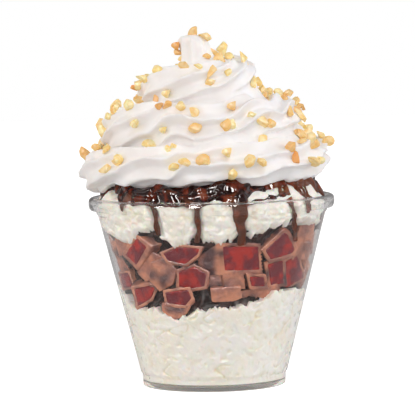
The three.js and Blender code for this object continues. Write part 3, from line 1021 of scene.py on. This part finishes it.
def blanket_rule(azimuth, radius, z):
    share, rise = min(radius / DRUM, 1), z / DRUM
    reach = between(SAUCE_EDGE, azimuth) + 1.1 * uneven(around(azimuth, MID_RADIUS, 0), 4, 31)
    r = share * reach
    ice = ice_top(azimuth, r)
    if rise < BOTTOM:
        return azimuth, r, ice - 0.9, 0
    if share > SIDE:
        return azimuth, r, ice - 0.9 + 1.4 * rise, 0
    edge = clamp((1 - share) / 0.04) ** 0.25
    thick = 3.4 + 2.4 * uneven(around(azimuth, r, 0), 5, 33)
    up_to_cream = (cream_low(azimuth) + 0.6 - ice) * clamp((0.95 - share) / 0.12)
    return azimuth, r, ice + 0.5 + max(thick, up_to_cream) * edge, 0


sauce = drum("poured_sauce", 3, 44, 420)
reshape(sauce, blanket_rule)
print("blanket:", triangles(sauce), "triangles")


# %% Strands and runs
def tube(points, radii):
    """A round strand through points, with a radius at each, as a mesh."""
    curve = bpy.data.curves.new("strand", "CURVE")
    curve.dimensions = "3D"
    curve.bevel_depth = MM
    curve.bevel_resolution = 3
    curve.use_fill_caps = True
    spline = curve.splines.new("NURBS")
    spline.points.add(len(points) - 1)
    for spot, point, radius in zip(spline.points, points, radii):
        spot.co = (*(point * MM), 1)
        spot.radius = radius
    spline.order_u = 3
    spline.use_endpoint_u = True
    spline.resolution_u = 6
    strand = bpy.data.objects.new("strand", curve)
    bpy.context.scene.collection.objects.link(strand)
    pick(strand)
    bpy.ops.object.convert(target="MESH")
    return bpy.context.object


def skin_of(piece):
    """A piece's surface, to be met by lines."""
    return BVHTree.FromObject(piece, bpy.context.evaluated_depsgraph_get())


BEFORE_AXIS = -45  # where the search for the nearest point starts on a pixel's line


def seen_on(skin, x, y, beyond=5):
    """The point of a skin that a pixel shows, and the way out there. Where its line misses the
    skin, the nearest point to the line is taken, up to so many millimetres beyond the axis."""
    hit, outward, _, _ = skin.ray_cast(EYE * MM, sight(x, y))
    if hit is None:
        line = [EYE + sight(x, y) * (k - EYE.y) for k in range(BEFORE_AXIS, beyond, 2)]
        near = min((skin.find_nearest(p * MM) for p in line), key=lambda found: found[3])
        hit, outward = near[:2]
    return hit / MM, outward


SEEN_STRANDS = [
    [
        (101, 203, 4), (103, 196, 5), (107, 191, 6), (114, 190, 6), (120, 193, 5),
        (125, 200, 5), (131, 204, 4),
    ],
    [(243, 205, 6), (247, 197, 5), (255, 190, 5), (268, 187, 5), (284, 186, 6)],
    [(248, 206, 3), (256, 200, 3), (263, 201, 3), (271, 198, 3), (279, 200, 3), (287, 192, 4)],
    [(262, 189, 4), (265, 195, 3), (274, 197, 3), (281, 193, 3), (279, 187, 4)],
    [(292, 207, 4), (290, 198, 4), (287, 191, 4), (286, 185, 5)],
    [(294, 186, 5), (298, 193, 4), (305, 199, 3), (312, 198, 3), (317, 192, 4), (321, 185, 4)],
    [(288, 184, 6), (300, 184, 6), (312, 183, 6), (321, 184, 5), (322, 190, 4)],
    [(304, 186, 4), (308, 193, 3), (308, 203, 3)],
    [(240, 206, 9), (240, 198, 11), (238, 190, 12)],
    [(196, 206, 4), (192, 199, 5), (186, 195, 6)],
]
SEEN_FOLDS = [
    [(176, 195, 4), (184, 200, 5), (194, 202, 5), (205, 199, 5), (217, 195, 4)],
    [(125, 192, 4), (131, 198, 5), (140, 201, 5), (152, 201, 4)],
    [(152, 194, 4), (162, 191, 5), (172, 195, 5), (180, 193, 4)],
    [(216, 190, 4), (226, 196, 5), (236, 198, 5), (241, 193, 4)],
    [(190, 193, 4), (200, 191, 5), (211, 189, 5), (222, 184, 4)],
    [(132, 192, 4), (142, 195, 5), (152, 190, 4)],
]
strands = []
for skin, lines in ((skin_of(ice_upper), SEEN_STRANDS), (skin_of(sauce), SEEN_FOLDS)):
    for pixels in lines:
        points = [seen_on(skin, x, y)[0] + Vector((0, -0.3, 0.3)) for x, y, _ in pixels]
        strands.append(tube(points, [w / SCALE / 2 for _, _, w in pixels]))
for run in RUNS:
    points = [around(a, wall(z) - 0.35 * w, z) for a, z, w in run]
    radii = [w / 2 for _, _, w in run]
    azimuth, top, _ = run[0]
    inner = wall(top) - 3.5
    lead = around(azimuth, inner, max(ice_top(azimuth, inner), top) + 0.8)
    strands.append(tube([lead] + points, [radii[0]] + radii))
pick(*strands, sauce)
bpy.ops.object.join()
print("strands and runs:", len(strands))

# %% Melt the sauce together
SAUCE_VOXEL = 0.46
swell = bpy.data.textures.new("swell", "CLOUDS")
swell.noise_scale, swell.noise_depth = 4 * MM, 0
melt(sauce, SAUCE_VOXEL)
relax(sauce, 8)
roughen(sauce, swell, 1.8)
relax(sauce, 3)


def against_wall_rule(azimuth, radius, z):
    point = around(azimuth, radius, 1.6 * z)
    patches = clamp(3 * uneven(point, 6, 42) - 0.5)
    right_side = clamp(1 - abs(azimuth - 64) / 26)
    thin = clamp(0.5 * patches + 0.5 * right_side)
    return azimuth, min(radius, wall(z) + 0.2), z, thin if z > RUN_TOP else 0.25


reshape(sauce, against_wall_rule)
dress(sauce, sauce_brown, ["chocolate_sauce"])

# %% [markdown]
# ## The piped swirl
#
# Cream leaves a star nozzle as a rope with sharp ridges and round hollows, and the rope turns
# as the hand goes round. So it is made the same way: a star is swept along a rising spiral,
# with a tilt that turns it and a radius that thins it. The hand is never quite even, which a
# little noise in the path gives. Rope, peak and the heart inside are joined, a voxel remesh
# makes them one body, and smoothing softens it like cream.

# %% The path of the rope
SWIRL_START, SWIRL_END = -0.32, 2.76
SWIRL_REACH = [  # turns from the left side, and how far out the cream stands there
    (-0.32, 45.5), (-0.05, 50.4), (0.04, 50.4), (0.25, 45.9), (0.5, 45.6), (0.75, 44.6),
    (1, 42.2), (1.25, 38.9), (1.5, 35), (1.75, 31), (2, 26.8), (2.25, 22.6), (2.5, 18.6),
    (2.76, 13),
]
SWIRL_BASE, SWIRL_PITCH, LEFT_LIFT, FRONT_LIFT, END_LIFT = 78.6, 14.8, 1.2, 1.4, 2.0
ROPE_RADIUS, ROPE_TWIST, ROPE_PHASE = 9.4, 0.82, -0.22
# Where the ridges hurry or wait as they climb: turns along the rope, and degrees.
RIDGE_WAVES = [
    (-0.32, 0), (0.1, 0), (0.137, -8), (0.19, 8), (0.21, -6), (0.235, -8), (0.27, 8),
    (0.32, 0), (1.1, 0), (1.15, 4), (1.18, -14), (1.2, -12), (1.25, 24), (1.28, 28),
    (1.33, 10), (1.42, 0),
]
STAR_POINTS, STAR_DEPTH, STAR_STEPS = 8, 0.35, 96
PATH_POINTS = 260


def drift(along, seed):
    """A slow wander of the hand along the rope, from about -0.5 to 0.5."""
    return noise.noise(Vector((along, seed, 0)))


def rope_radius(t):
    return ROPE_RADIUS * (1 - 0.32 * max(t / SWIRL_END, 0) ** 5)


def rope_centre(t):
    """Radius and height of the rope's middle after t turns from the left side."""
    outside = between(SWIRL_REACH, t)
    on = max(t, -0.06)
    height = SWIRL_BASE + SWIRL_PITCH * on
    height += LEFT_LIFT * math.cos(math.tau * on) + FRONT_LIFT * math.sin(math.tau * on)
    height += END_LIFT * clamp((t - 2.2) / 0.5) ** 2
    reach = outside - rope_radius(t) + drift(2.6 * t, 4.1)
    return reach, height + 0.7 * drift(2.2 * t, 9.3)


print("the rope ends at", [round(v, 1) for v in rope_centre(SWIRL_END)])


# %% Sweep the star along it
def star(radius, depth):
    """Points of a star with sharp ridges and round hollows."""
    points = []
    for i in range(STAR_STEPS):
        a = math.tau * i / STAR_STEPS
        reach = radius * (1 - depth * abs(math.sin(STAR_POINTS * a / 2)) ** 1.15)
        points.append((reach * math.cos(a), reach * math.sin(a)))
    return points


def poly_curve(name, points, cyclic):
    curve = bpy.data.curves.new(name, "CURVE")
    curve.dimensions = "3D"
    spline = curve.splines.new("POLY")
    spline.points.add(len(points) - 1)
    spline.points.foreach_set("co", [v for p in points for v in p])
    spline.use_cyclic_u = cyclic
    piece = bpy.data.objects.new(name, curve)
    bpy.context.scene.collection.objects.link(piece)
    return piece


nozzle = poly_curve("nozzle", [(x * MM, y * MM, 0, 1) for x, y in star(1, STAR_DEPTH)], True)
path, turns, widths = [], [], []
for i in range(PATH_POINTS + 1):
    t = SWIRL_START + (SWIRL_END - SWIRL_START) * i / PATH_POINTS
    r, z = rope_centre(t)
    path.append((*(around(360 * t - 90, r, z) * MM), 1))
    wave = 0.6 * drift(4 * t, 1.7) + math.radians(between(RIDGE_WAVES, t))
    turns.append(ROPE_PHASE - math.tau * ROPE_TWIST * t + wave)
    start = clamp((t - SWIRL_START) / 0.05, 0.4, 1)
    widths.append(rope_radius(t) * start * (1 + 0.05 * drift(4 * t, 6.6)))
rope = poly_curve("rope", path, False)
rope.data.twist_mode = "Z_UP"
rope.data.bevel_mode = "OBJECT"
rope.data.bevel_object = nozzle
rope.data.use_fill_caps = True
rope.data.splines[0].points.foreach_set("tilt", turns)
rope.data.splines[0].points.foreach_set("radius", widths)
pick(rope)
bpy.ops.object.convert(target="MESH")
rope = bpy.context.object
bpy.data.objects.remove(nozzle)
print("rope:", triangles(rope), "triangles")

# %% The peak, pulled up from a star
PEAK = [  # height and radius
    (107, 12.5), (112, 11.5), (116.5, 9.8), (120, 8), (122.5, 6.9), (126, 6.3), (128.8, 5.9),
    (130.3, 4.6), (130.9, 2),
]
PEAK_LEAN, PEAK_TWIST, PEAK_DEPTH = -6.5, 40, 0.26
bpy.ops.object.select_all(action="DESELECT")
bpy.ops.mesh.primitive_circle_add(vertices=STAR_STEPS, radius=MM, fill_type="NGON")
peak = bpy.context.object
peak.name = "peak"
(base_z, base_r), *higher = PEAK
for vertex, (x, y) in zip(peak.data.vertices, star(base_r, PEAK_DEPTH)):
    vertex.co = (x * MM, y * MM, base_z * MM)
with editing(peak):
    lean, z0, r0 = 0.0, base_z, base_r
    for z1, r1 in higher:
        step = (z1 - z0) / (PEAK[-1][0] - base_z)
        lean += PEAK_LEAN * step
        middle = (lean * MM, 0, z1 * MM)
        extrude(Vector((PEAK_LEAN * step, 0, z1 - z0)))
        bpy.ops.transform.resize(value=(r1 / r0, r1 / r0, 1), center_override=middle)
        bpy.ops.transform.rotate(
            value=math.radians(-PEAK_TWIST * step), orient_axis="Z", center_override=middle
        )
        z0, r0 = z1, r1
    face_outwards()
print("peak top in mm:", round(max(v.co.z for v in peak.data.vertices) / MM, 1))

# %% Join rope, peak and heart into one body of cream
HEART_FOOT = 74
CREAM_VOXEL = 0.63
heart_line = [rope_centre(k * SWIRL_END / 6) for k in range(7)]
heart_line = [(r + 1.5, z + 1) for r, z in heart_line]
heart_top = (0, heart_line[-1][1] + 2)
heart = lathe("heart", [(0, HEART_FOOT), (36, HEART_FOOT)] + heart_line + [heart_top], 48)
pick(heart, peak, rope)
bpy.ops.object.join()
cream = bpy.context.object
cream.name = "piped_cream"
melt(cream, CREAM_VOXEL)
relax(cream, 5)
print("cream:", triangles(cream), "triangles")

# %% Seat the cream
SEAT_ROUND = 1.6  # the height over which its foot is rounded


def cream_rule(azimuth, radius, z):
    """Seats the cream on its lower edge, with a rounded foot, and makes it a little uneven."""
    here = around(azimuth, radius, z)
    radius += 0.7 * uneven(here, 9, 51) + 0.16 * uneven(here, 3, 52)
    z += 2.4 * uneven(here, 11, 54) * clamp((122 - z) / 8) * clamp((z - cream_low(azimuth)) / 6)
    above = z - cream_low(azimuth)
    if above < SEAT_ROUND:
        z += SEAT_ROUND * math.exp((above - SEAT_ROUND) / SEAT_ROUND) - above
    tuck = 2.4 - 1.8 * hump(azimuth + 88, 22)
    radius -= tuck * clamp(1 - above / 5) ** 2 * clamp((radius - 36) / 6)
    if radius < 42:
        z = max(z, ice_top(azimuth, radius) + 1.0)
    return azimuth, radius, z, 0


reshape(cream, cream_rule)
relax(cream, 1)
dress(cream, cream_white, ["whipped_cream"])

# %% [markdown]
# ## Chopped peanuts
#
# Chopped nuts break along flat planes, so each kind is a small ball cut by a few planes. A
# handful of kinds is enough: each copy has its own turn, size and roast. The ones that the
# photograph shows are placed by their pixels: a line from the camera through the pixel meets
# the cream, and there the piece sits. Out of the photograph's sight they are scattered at the
# same density. All are joined into one mesh.


# %% A few kinds of fragment
def fragment(kind, stretch):
    """A low ball, cut flat on some sides."""
    cuts = random.Random(100 + kind)
    bpy.ops.object.select_all(action="DESELECT")
    bpy.ops.mesh.primitive_ico_sphere_add(subdivisions=2, radius=MM)
    piece = bpy.context.object
    with editing(piece):
        for _ in range(7):
            normal = Vector([cuts.gauss(0, 1) for _ in range(3)]).normalized()
            at = normal * cuts.uniform(0.34, 0.76) * MM
            bpy.ops.mesh.select_all(action="SELECT")
            bpy.ops.mesh.bisect(plane_co=at, plane_no=normal, use_fill=True, clear_outer=True)
        bpy.ops.mesh.select_all(action="SELECT")
        bpy.ops.transform.resize(value=(stretch, 1, 0.85), center_override=(0, 0, 0))
        face_outwards()
    return piece


KINDS = [fragment(k, stretch) for k, stretch in enumerate([1.0, 1.15, 1.3, 0.95, 1.5, 1.9])]
ROUND_KINDS, LONG_KIND = KINDS[:4], KINDS[4]
print("faces of the kinds:", [len(kind.data.polygons) for kind in KINDS])

# %% The ones that the photograph shows: x, y, width in mm, roast from 0 to 1
SEEN_NUTS = [
    (193, 31, 4.2, 0.5), (207, 31, 4.4, 0.3), (175, 45, 4.6, 0.8), (174, 53, 3.6, 0.6),
    (223, 48, 4.4, 0.1), (206, 57, 2.6, 0.5), (219, 60, 4.6, 0.4), (184, 65, 4.2, 0.4),
    (198, 66, 3.0, 0.0), (228, 74, 2.8, 0.0), (210, 84, 3.8, 0.3), (159, 70, 4.2, 0.0),
    (139, 71, 4.2, 0.0), (131, 80, 4.2, 0.2), (131, 87, 4.0, 0.9), (167, 91, 4.4, 0.1),
    (157, 98, 3.6, 0.7), (160, 105, 3.8, 0.8), (167, 105, 3.4, 0.6), (181, 106, 3.8, 0.2),
    (194, 112, 3.6, 0.3), (126, 99, 4.4, 0.0), (130, 103, 3.2, 0.2), (117, 104, 3.6, 0.2),
    (109, 105, 3.4, 0.1), (107, 111, 3.0, 0.0), (264, 81, 4.2, 0.2), (267, 90, 4.0, 0.2),
    (267, 98, 5.0, 0.3), (280, 95, 4.4, 0.0), (231, 105, 4.8, 0.5), (252, 116, 3.0, 0.0),
    (99, 126, 5.0, 0.4), (134, 122, 4.0, 0.0), (164, 128, 3.8, 0.0), (195, 126, 4.6, 0.5),
    (225, 125, 4.8, 0.5), (232, 125, 3.8, 0.0), (261, 122, 4.6, 0.3), (270, 124, 3.8, 0.4),
    (288, 112, 4.4, 0.4), (262, 141, 4.4, 0.2), (150, 146, 4.6, 0.0), (168, 149, 2.8, 0.0),
    (174, 146, 2.8, 0.0), (227, 151, 5.0, 0.3), (93, 144, 3.8, 0.4), (86, 153, 4.6, 0.6),
    (98, 148, 3.6, 0.1), (107, 149, 4.0, 0.2), (119, 158, 4.6, 0.1), (117, 164, 3.6, 0.3),
    (106, 170, 4.8, 0.3), (203, 163, 5.0, 0.5), (175, 169, 4.0, 0.1), (185, 164, 3.8, 0.3),
    (231, 174, 5.0, 0.2), (249, 161, 4.8, 0.3), (262, 161, 4.6, 0.3), (298, 136, 4.6, 0.5),
    (308, 136, 4.8, 0.3), (322, 136, 4.6, 0.3), (327, 142, 4.6, 0.4), (312, 144, 4.4, 0.5),
    (291, 148, 4.6, 0.6), (310, 139, 4.0, 0.2), (312, 162, 5.0, 0.3), (319, 160, 3.4, 0.0),
    (302, 143, 3.6, 0.4),
]
# Long slivers also have their length in mm and their slope on the picture in degrees.
SEEN_SLIVERS = [
    (244, 61, 2.6, 0.2, 7, -60), (212, 71, 2.8, 0.4, 6.4, 62), (252, 84, 3.4, 0.1, 6, -80),
    (300, 117, 3.0, 0.3, 8, -48), (294, 160, 4.0, 0.9, 7, -70), (205, 164, 3.4, 0.4, 6, 0),
]
print("nuts in sight:", len(SEEN_NUTS) + len(SEEN_SLIVERS))

# %% Set each nut on the cream
cream_skin = skin_of(cream)
chance = random.Random(23)
nuts = []


NUT_LIFT = 0.16  # how far a nut's middle stands out, as a share of its width
NUT_SIZE = 1.14  # makes up for what the cuts took off


def set_nut(kind, at, outward, width, roast, turn):
    """One copy of a kind, sunk a little into the cream."""
    mesh = kind.data.copy()
    seat = Matrix.Translation((at + outward * NUT_LIFT * width) * MM)
    mesh.transform(seat @ turn.to_4x4() @ Matrix.Scale(width / 2 * NUT_SIZE, 4))
    keep_tones(mesh, [roast**1.3] * len(mesh.vertices))
    nut = bpy.data.objects.new("nut", mesh)
    bpy.context.scene.collection.objects.link(nut)
    nuts.append(nut)


def any_turn():
    axis = Vector([chance.gauss(0, 1) for _ in range(3)])
    return Matrix.Rotation(chance.uniform(0, math.tau), 3, axis)


def on_cream(x, y):
    return seen_on(cream_skin, x, y, beyond=20)


for x, y, width, roast in SEEN_NUTS:
    at, outward = on_cream(x, y)
    set_nut(chance.choice(ROUND_KINDS), at, outward, width, roast, any_turn())
for x, y, width, roast, long, slope in SEEN_SLIVERS:
    at, outward = on_cream(x, y)
    a = math.radians(slope)
    along = (math.cos(a) * view_right + math.sin(a) * view_up).normalized()
    side = outward.cross(along).normalized()
    turn = Matrix((along * long / width / 1.5, side, along.cross(side))).transposed()
    set_nut(LONG_KIND, at, outward, width, roast, turn)
print("placed by pixel:", len(nuts))

# %% Scatter the rest out of the photograph's sight
HIDDEN_NUTS, NUT_SPACING = 90, 4.5
wanted = len(nuts) + HIDDEN_NUTS
taken = [nut.data.vertices[0].co / MM for nut in nuts]
while len(nuts) < wanted:
    azimuth = chance.uniform(78, 282)
    z = chance.uniform(76, 124)
    start = around(azimuth, 70, z + 20)
    hit, outward, _, _ = cream_skin.ray_cast(start * MM, around(azimuth, -1, -0.3).normalized())
    if hit is None or outward.z < -0.1:
        continue
    at = hit / MM
    if min((at - other).length for other in taken) < NUT_SPACING:
        continue
    taken.append(at)
    kind = chance.choice(KINDS)
    set_nut(kind, at, outward, chance.uniform(2.8, 5), chance.uniform(0, 0.8) ** 1.5, any_turn())
pick(*nuts)
bpy.ops.object.join()
peanuts = bpy.context.object
peanuts.name = "chopped_peanuts"
for kind in KINDS:
    bpy.data.objects.remove(kind)
modify(
    peanuts, "BEVEL", width=0.22 * MM, segments=1, limit_method="ANGLE",
    angle_limit=math.radians(35),
)
dress(peanuts, peanut_gold, smooth=False)
pick(peanuts)
bpy.ops.object.shade_smooth_by_angle(angle=math.radians(32))
print("nuts in all:", len(nuts))

# %% [markdown]
# ## Floor and light
#
# The photograph is a studio shot on white: one broad soft light from above, and white all
# round. Suns with wide discs light floor and food evenly from above, the front and both sides,
# and a pale sky fills the shadows, warmer from the left and cooler from the right. Three strip
# lights at the front put the highlights on plastic and sauce. They are seen in reflections
# only. The front sun is left out of these, and the sky is dimmer in them, because dark sauce
# under a bright sky looks grey.


# %% The floor
def calculate(tree, operation, *constants):
    """A Math node. constants are its second number and its third."""
    node = add_node(tree, "Math")
    node.operation = operation
    for socket, value in zip(node.inputs[1:], constants):
        socket.default_value = value
    return node


FLOOR_GREY = 0.58
FLOOR_GLOW, GLOW_FOR_CAMERA = 0.06, 0.66  # what it shines by itself, and more when looked at
bpy.ops.object.select_all(action="DESELECT")
bpy.ops.mesh.primitive_plane_add(size=6)
floor = bpy.context.object
floor.name = "floor"
pale, tree, surface = new_material(
    "pale floor", Base_Color=(FLOOR_GREY, FLOOR_GREY, FLOOR_GREY, 1), Roughness=0.9,
    Specular_IOR_Level=0, Emission_Color=(1, 1, 1, 1),
)
ray = add_node(tree, "LightPath")
glow = calculate(tree, "MULTIPLY_ADD", GLOW_FOR_CAMERA, FLOOR_GLOW)
wire(tree, (ray, "Is Camera Ray", glow, 0), (glow, "Value", surface, "Emission Strength"))
floor.data.materials.append(pale)
print("floor made:", floor.name)

# %% The sky
SKY_LOW, SKY_HIGH = 0.8, 0.36  # its strength at the horizon, and high up
DIMMER_IN_GLOSS = -0.6
world = bpy.data.worlds.new("studio")
bpy.context.scene.world = world
world.use_nodes = True
tree = world.node_tree
sky = tree.nodes["Background"]
place = add_node(tree, "TexCoord")
split = add_node(tree, "SeparateXYZ")
left_to_right = add_node(tree, "MapRange", From_Min=-1)
warm_to_cool = add_node(tree, "ValToRGB")
ramp = warm_to_cool.color_ramp.elements
ramp[0].color = (1.3, 1.2, 1.12, 1)
ramp[1].color = (1.18, 1.18, 1.26, 1)
ramp.new(0.5).color = (0.84, 0.81, 0.8, 1)
bright_walls = add_node(tree, "MapRange", From_Max=0.8, To_Min=SKY_LOW, To_Max=SKY_HIGH)
ray = add_node(tree, "LightPath")
dim_in_gloss = calculate(tree, "MULTIPLY_ADD", DIMMER_IN_GLOSS, 1.0)
strength = calculate(tree, "MULTIPLY")
white = add_node(tree, "Background", Color=(1, 1, 1, 1))
either = add_node(tree, "MixShader")
wire(
    tree,
    (place, "Generated", split, "Vector"), (split, "X", left_to_right, "Value"),
    (left_to_right, "Result", warm_to_cool, "Fac"), (warm_to_cool, "Color", sky, "Color"),
    (split, "Z", bright_walls, "Value"), (ray, "Is Glossy Ray", dim_in_gloss, 0),
    (bright_walls, "Result", strength, 0), (dim_in_gloss, "Value", strength, 1),
    (strength, "Value", sky, "Strength"), (ray, "Is Camera Ray", either, "Fac"),
    (sky, "Background", either, 1), (white, "Background", either, 2),
    (either, "Shader", tree.nodes["World Output"], "Surface"),
)
print("sky made:", world.name)


# %% Lamps
LIT_PLACE = Vector((0, 0, 0.07))  # the middle of the sundae


def lamp(kind, place, strength, colour, size, matt=True, gloss=True):
    """A lamp turned to the sundae. size is a sun's angle in degrees, or a strip's width and
    height in metres. Without matt the lamp is only seen in reflections, and without gloss it
    isn't seen in them."""
    bpy.ops.object.light_add(type=kind, location=place)
    light = bpy.context.object
    light.rotation_euler = (LIT_PLACE - Vector(place)).to_track_quat("-Z", "Y").to_euler()
    light.data.energy = strength
    light.data.color = colour
    light.visible_camera = light.visible_transmission = False
    light.visible_diffuse, light.visible_glossy = matt, gloss
    if kind == "SUN":
        light.data.angle = math.radians(size)
    else:
        light.data.shape = "RECTANGLE"
        light.data.size, light.data.size_y = size


lamp("SUN", (0.55, -0.5, 1.5), 0.8, (1, 0.99, 0.98), 40)
lamp("SUN", (-0.15, -1, 0.2), 0.75, (1, 0.97, 0.94), 50, gloss=False)
lamp("AREA", (-0.33, -1.2, 0.36), 32, (1, 0.98, 0.96), (0.26, 0.8), matt=False)
lamp("AREA", (0.42, -1.15, 0.5), 14, (1, 0.98, 0.96), (0.16, 0.7), matt=False)
lamp("AREA", (-0.96, -0.8, 0.4), 8, (1, 0.98, 0.96), (0.12, 0.7), matt=False)
lamp("SUN", (-1, -0.05, 0.25), 0.9, (1, 0.98, 0.96), 50)
lamp("SUN", (1, -0.05, 0.25), 0.86, (0.98, 0.98, 1), 50)
bpy.context.scene.view_settings.view_transform = "Standard"
bpy.context.scene.cycles.use_denoising = True
